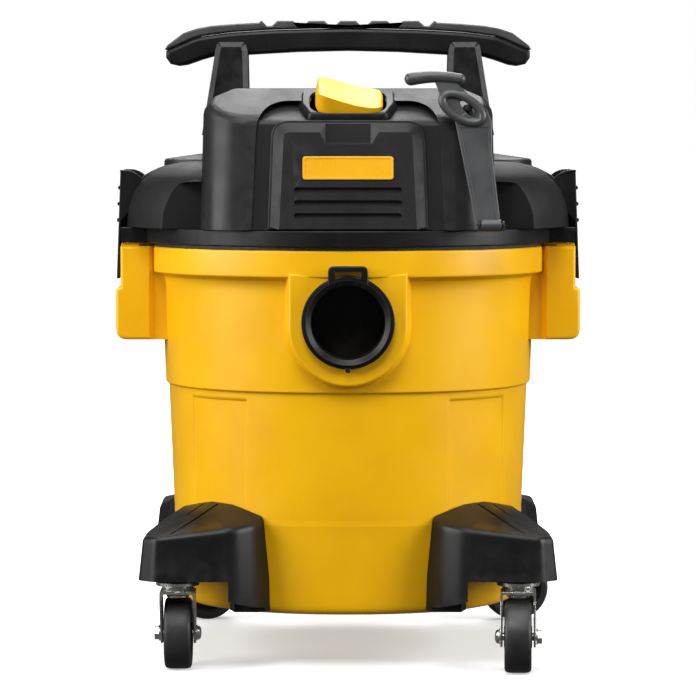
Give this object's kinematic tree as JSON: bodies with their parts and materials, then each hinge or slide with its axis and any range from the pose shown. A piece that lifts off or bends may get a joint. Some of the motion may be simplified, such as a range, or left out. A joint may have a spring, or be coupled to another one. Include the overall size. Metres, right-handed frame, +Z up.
{
  "type": "shop vacuum",
  "caption": "Wheeled wet and dry vacuum: plastic drum on swivel casters with a lift-off motor head, carry handle, side latches and hose strap.",
  "frame": {"origin": "on the floor, under the centre of the drum", "axes": "+Z up, -Y is the front with the hose inlet, +X is the side of the hose strap"},
  "size_m": [0.372, 0.3639, 0.5086],
  "materials": {
    "yellow_plastic": "satin gloss",
    "black_plastic": "fine texture",
    "housing_plastic": "satin",
    "badge": "smooth, blank",
    "grip_rubber": "soft matte",
    "wheel_rubber": "matte",
    "zinc_steel": "zinc plated",
    "foam": "foam",
    "copper": "varnished winding",
    "white_plastic": "natural",
    "filter_paper": "pleated paper"
  },
  "bodies": {
    "tank": {"tank": "yellow_plastic", "inlet_port": "black_plastic", "inlet_gasket": "grip_rubber", "inlet_deflector": "black_plastic", "foot_front_left": "black_plastic", "foot_front_right": "black_plastic", "foot_rear_left": "black_plastic", "foot_rear_right": "black_plastic", "caster_stem_front_left": "zinc_steel", "caster_stem_front_right": "zinc_steel", "caster_stem_rear_left": "zinc_steel", "caster_stem_rear_right": "zinc_steel"},
    "head": {"lid_base": "black_plastic", "lid_gasket": "foam", "motor_cover": "housing_plastic", "front_panel": "housing_plastic", "badge_plate": "badge", "carry_handle": "black_plastic", "handle_grip": "grip_rubber", "switch_bezel": "black_plastic", "switch_module": "black_plastic", "rocker_pin": "zinc_steel", "latch_pin_left": "zinc_steel", "latch_pin_right": "zinc_steel", "strap_peg": "black_plastic", "strap_anchor": "black_plastic", "motor_gasket": "foam", "impeller_housing": "white_plastic", "motor_housing": "black_plastic", "field_coil": "copper", "lower_bearing": "zinc_steel", "upper_bearing": "zinc_steel", "float_cage": "black_plastic", "filter_cartridge": "filter_paper", "filter_retainer": "black_plastic", "exhaust_port": "black_plastic", "cord_gland": "grip_rubber"},
    "rotor": {"motor_shaft": "zinc_steel", "armature": "zinc_steel", "impeller": "white_plastic", "cooling_fan": "black_plastic"},
    "float": {"float_ball": "white_plastic"},
    "rocker": {"switch_rocker": "yellow_plastic"},
    "strap": {"hose_strap": "grip_rubber"},
    "latch_left": {"latch_left": "black_plastic"},
    "latch_right": {"latch_right": "black_plastic"},
    "fork_front_left": {"caster_fork_front_left": "zinc_steel", "caster_axle_front_left": "zinc_steel"},
    "wheel_front_left": {"caster_wheel_front_left": "wheel_rubber"},
    "fork_front_right": {"caster_fork_front_right": "zinc_steel", "caster_axle_front_right": "zinc_steel"},
    "wheel_front_right": {"caster_wheel_front_right": "wheel_rubber"},
    "fork_rear_left": {"caster_fork_rear_left": "zinc_steel", "caster_axle_rear_left": "zinc_steel"},
    "wheel_rear_left": {"caster_wheel_rear_left": "wheel_rubber"},
    "fork_rear_right": {"caster_fork_rear_right": "zinc_steel", "caster_axle_rear_right": "zinc_steel"},
    "wheel_rear_right": {"caster_wheel_rear_right": "wheel_rubber"}
  },
  "joints": [
    {"name": "head_lift", "type": "slide", "parent": "tank", "child": "head", "axis": [0, 0, 1], "range_m": [0, 0.15]},
    {"name": "latch_left_swing", "type": "hinge", "parent": "head", "child": "latch_left", "pos_m": [-0.175, 0, 0.3715], "axis": [0, 1, 0], "range_deg": [0, 50]},
    {"name": "latch_right_swing", "type": "hinge", "parent": "head", "child": "latch_right", "pos_m": [0.175, 0, 0.3715], "axis": [0, -1, 0], "range_deg": [0, 50]},
    {"name": "switch_rock", "type": "hinge", "parent": "head", "child": "rocker", "pos_m": [0, -0.118, 0.44198], "axis": [0, -0.9018, -0.4321], "range_deg": [0, 24]},
    {"name": "strap_swing", "type": "hinge", "parent": "head", "child": "strap", "pos_m": [0.11, -0.163, 0.347], "axis": [1, 0, 0], "range_deg": [0, 80]},
    {"name": "rotor_spin", "type": "hinge", "parent": "head", "child": "rotor", "pos_m": [0, 0, 0.4], "axis": [0, 0, 1], "continuous": true},
    {"name": "float_rise", "type": "slide", "parent": "head", "child": "float", "axis": [0, 0, 1], "range_m": [0, 0.034]},
    {"name": "swivel_front_left", "type": "hinge", "parent": "tank", "child": "fork_front_left", "pos_m": [-0.1325, -0.144, 0.065], "axis": [0, 0, 1], "continuous": true},
    {"name": "wheel_spin_front_left", "type": "hinge", "parent": "fork_front_left", "child": "wheel_front_left", "pos_m": [-0.1325, -0.133, 0.028], "axis": [1, 0, 0], "continuous": true},
    {"name": "swivel_front_right", "type": "hinge", "parent": "tank", "child": "fork_front_right", "pos_m": [0.1325, -0.144, 0.065], "axis": [0, 0, 1], "continuous": true},
    {"name": "wheel_spin_front_right", "type": "hinge", "parent": "fork_front_right", "child": "wheel_front_right", "pos_m": [0.13192, -0.15499, 0.028], "axis": [-0.9986, 0.0523, 0], "continuous": true},
    {"name": "swivel_rear_left", "type": "hinge", "parent": "tank", "child": "fork_rear_left", "pos_m": [-0.1325, 0.144, 0.065], "axis": [0, 0, 1], "continuous": true},
    {"name": "wheel_spin_rear_left", "type": "hinge", "parent": "fork_rear_left", "child": "wheel_rear_left", "pos_m": [-0.12261, 0.14882, 0.028], "axis": [0.4384, -0.8988, 0], "continuous": true},
    {"name": "swivel_rear_right", "type": "hinge", "parent": "tank", "child": "fork_rear_right", "pos_m": [0.1325, 0.144, 0.065], "axis": [0, 0, 1], "continuous": true},
    {"name": "wheel_spin_rear_right", "type": "hinge", "parent": "fork_rear_right", "child": "wheel_rear_right", "pos_m": [0.14333, 0.14591, 0.028], "axis": [0.1736, -0.9848, 0], "continuous": true}
  ]
}
